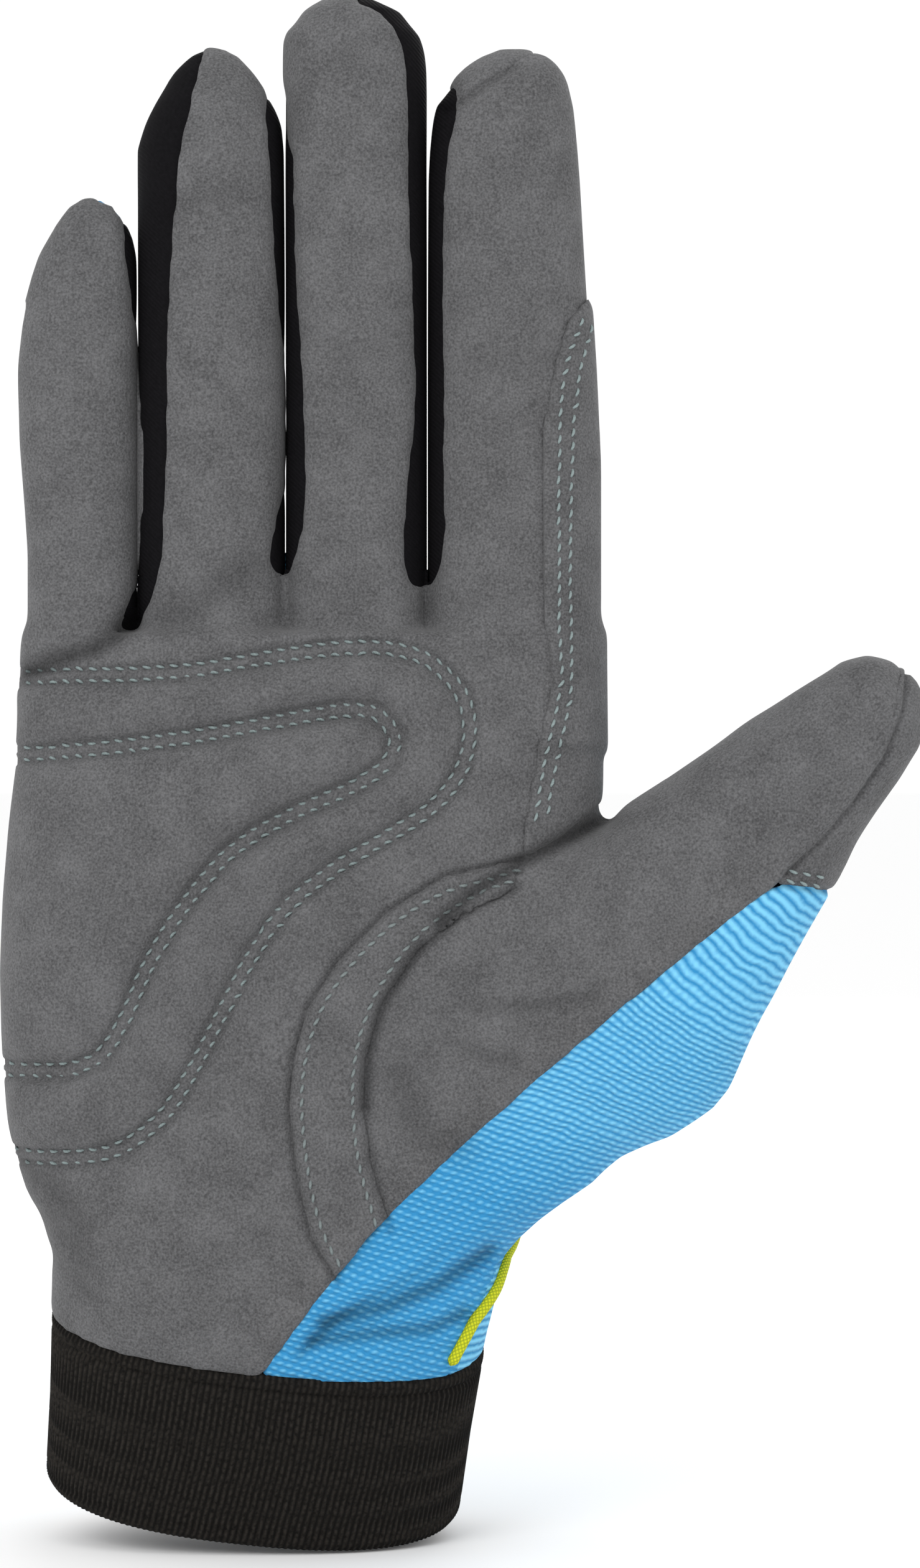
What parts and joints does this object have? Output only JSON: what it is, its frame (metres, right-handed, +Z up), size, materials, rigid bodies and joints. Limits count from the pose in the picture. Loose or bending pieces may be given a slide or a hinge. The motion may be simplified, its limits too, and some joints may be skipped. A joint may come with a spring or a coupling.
{
  "type": "sailing glove",
  "caption": "Right-hand full-finger sailing glove, filled out as worn, with fingers and thumb that bend at hinges, an elastic wrist cuff and a padded palm heel.",
  "frame": {"origin": "centre of the cuff's mouth, where the wrist goes in", "axes": "+Z runs up the fingers, -Y is the palm side, +X is the thumb side"},
  "size_m": [0.1475, 0.0529, 0.2477],
  "materials": {
    "grey_suede": "matte",
    "blue_knit": "matte",
    "black_stretch": "matte",
    "black_elastic": "matte",
    "yellow_piping": "matte",
    "foam": "matte"
  },
  "bodies": {
    "hand": {"palm_panel": "grey_suede", "back_panel": "blue_knit", "thumb_side_panel": "blue_knit", "thumb_root_reinforcement": "grey_suede", "index_side_reinforcement": "grey_suede", "wrist_piping": "yellow_piping", "heel_pad_inner": "foam", "heel_pad_outer": "foam", "cuff_outer_layer": "black_elastic", "cuff_inner_layer": "black_elastic", "little_ring_crotch_gusset": "black_stretch", "ring_middle_crotch_gusset": "black_stretch", "middle_index_crotch_gusset": "black_stretch"},
    "little_base": {"little_base_front": "grey_suede", "little_base_gusset_right": "black_stretch", "little_base_back": "blue_knit"},
    "little_tip": {"little_tip_front": "grey_suede", "little_tip_gusset_right": "black_stretch", "little_tip_back": "blue_knit"},
    "ring_base": {"ring_base_front": "grey_suede", "ring_base_gusset_left": "black_stretch", "ring_base_gusset_right": "black_stretch", "ring_base_back": "blue_knit"},
    "ring_tip": {"ring_tip_front": "grey_suede", "ring_tip_gusset_left": "black_stretch", "ring_tip_gusset_right": "black_stretch", "ring_tip_back": "blue_knit"},
    "middle_base": {"middle_base_front": "grey_suede", "middle_base_gusset_left": "black_stretch", "middle_base_gusset_right": "black_stretch", "middle_base_back": "blue_knit"},
    "middle_tip": {"middle_tip_front": "grey_suede", "middle_tip_gusset_left": "black_stretch", "middle_tip_gusset_right": "black_stretch", "middle_tip_back": "blue_knit"},
    "index_base": {"index_base_front": "grey_suede", "index_base_gusset_left": "black_stretch", "index_base_back": "blue_knit", "index_base_reinforcement": "grey_suede"},
    "index_tip": {"index_tip_front": "grey_suede", "index_tip_gusset_left": "black_stretch", "index_tip_back": "blue_knit", "index_tip_cap": "grey_suede"},
    "thumb_base": {"thumb_base_front": "grey_suede", "thumb_base_back": "blue_knit"},
    "thumb_tip": {"thumb_tip_front": "grey_suede", "thumb_tip_back": "blue_knit", "thumb_tip_cap": "grey_suede"}
  },
  "joints": [
    {"name": "little_knuckle", "type": "hinge", "parent": "hand", "child": "little_base", "pos_m": [-0.0268, -0.0115, 0.15], "axis": [1, 0, 0], "range_deg": [0, 80]},
    {"name": "little_middle", "type": "hinge", "parent": "little_base", "child": "little_tip", "pos_m": [-0.0268, -0.0115, 0.173], "axis": [1, 0, 0], "range_deg": [0, 90]},
    {"name": "ring_knuckle", "type": "hinge", "parent": "hand", "child": "ring_base", "pos_m": [-0.00625, -0.0115, 0.1575], "axis": [1, 0, 0], "range_deg": [0, 80]},
    {"name": "ring_middle", "type": "hinge", "parent": "ring_base", "child": "ring_tip", "pos_m": [-0.00625, -0.0115, 0.1835], "axis": [1, 0, 0], "range_deg": [0, 90]},
    {"name": "middle_knuckle", "type": "hinge", "parent": "hand", "child": "middle_base", "pos_m": [0.01695, -0.0115, 0.158], "axis": [1, 0, 0], "range_deg": [0, 80]},
    {"name": "middle_middle", "type": "hinge", "parent": "middle_base", "child": "middle_tip", "pos_m": [0.01695, -0.0115, 0.1875], "axis": [1, 0, 0], "range_deg": [0, 90]},
    {"name": "index_knuckle", "type": "hinge", "parent": "hand", "child": "index_base", "pos_m": [0.0419, -0.0115, 0.156], "axis": [1, 0, 0], "range_deg": [0, 80]},
    {"name": "index_middle", "type": "hinge", "parent": "index_base", "child": "index_tip", "pos_m": [0.0419, -0.0115, 0.1835], "axis": [1, 0, 0], "range_deg": [0, 90]},
    {"name": "thumb_knuckle", "type": "hinge", "parent": "hand", "child": "thumb_base", "pos_m": [0.07149, -0.017, 0.09441], "axis": [0.6691, 0, -0.7431], "range_deg": [0, 25]},
    {"name": "thumb_middle", "type": "hinge", "parent": "thumb_base", "child": "thumb_tip", "pos_m": [0.08784, -0.017, 0.10913], "axis": [0.6691, 0, -0.7431], "range_deg": [0, 50]}
  ]
}
